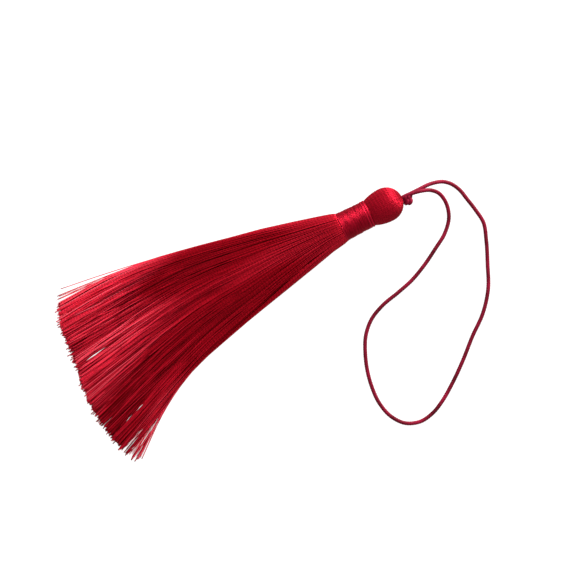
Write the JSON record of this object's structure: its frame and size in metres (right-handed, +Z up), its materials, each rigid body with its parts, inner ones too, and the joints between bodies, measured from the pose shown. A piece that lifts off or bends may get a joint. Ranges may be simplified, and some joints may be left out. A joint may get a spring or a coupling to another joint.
{
  "type": "tassel",
  "caption": "Silk thread tassel with a round head, a bound neck, a fanned skirt and a hanging loop of thin cord, lying flat.",
  "frame": {"origin": "on the surface the tassel lies on, in the small flat spot straight under the ball's widest section", "axes": "+X along the tassel from the thread tips to the knot, +Y across the fan towards its straighter edge, +Z up"},
  "size_m": [0.1527, 0.0955, 0.0121],
  "materials": {
    "head_silk": "satin silk threads laid from pole to pole",
    "binding_thread": "satin silk thread in close turns",
    "skirt_silk": "satin silk threads, cut ends",
    "loop_cord": "fine braided cord, soft sheen"
  },
  "bodies": {
    "root": {"head_ball": "head_silk", "neck_binding": "binding_thread", "skirt": "skirt_silk", "loop_knot": "loop_cord", "loop_cord": "loop_cord"}
  },
  "joints": []
}
